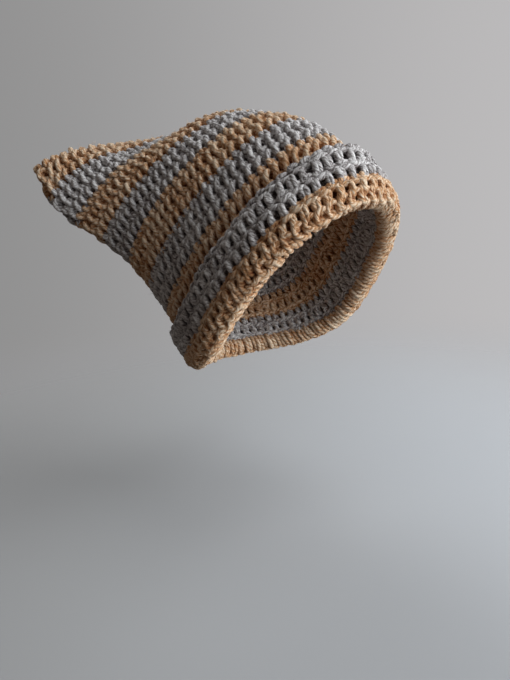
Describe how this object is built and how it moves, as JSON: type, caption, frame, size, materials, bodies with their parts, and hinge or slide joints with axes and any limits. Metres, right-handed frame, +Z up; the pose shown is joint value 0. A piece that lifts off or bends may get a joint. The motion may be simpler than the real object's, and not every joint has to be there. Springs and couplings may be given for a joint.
{
  "type": "crocheted beanie",
  "caption": "Slouchy crocheted beanie in stripes of bulky yarn: a square tube seamed straight across its top into corner ears, over a deep turned-up cuff",
  "frame": {"origin": "the middle of the head opening, level with the turned edge of the cuff", "axes": "+Z is up as the hat is worn, -Y is the way the wearer faces, +X is the wearer's left; the crown leans back along +Y"},
  "size_m": [0.262, 0.2689, 0.2189],
  "materials": {
    "gold_yarn": "matte bulky plied yarn",
    "grey_yarn": "matte heathered bulky plied yarn"
  },
  "bodies": {
    "root": {"cuff_band_grey": "grey_yarn", "fold_band_gold": "gold_yarn", "inner_band_grey": "grey_yarn", "body_band_1_gold": "gold_yarn", "body_band_2_grey": "grey_yarn", "body_band_3_gold": "gold_yarn", "body_band_4_grey": "grey_yarn", "body_band_5_gold": "gold_yarn", "body_band_6_grey": "grey_yarn", "crown_band_gold": "gold_yarn", "top_seam_yarn_gold": "gold_yarn"}
  },
  "joints": []
}
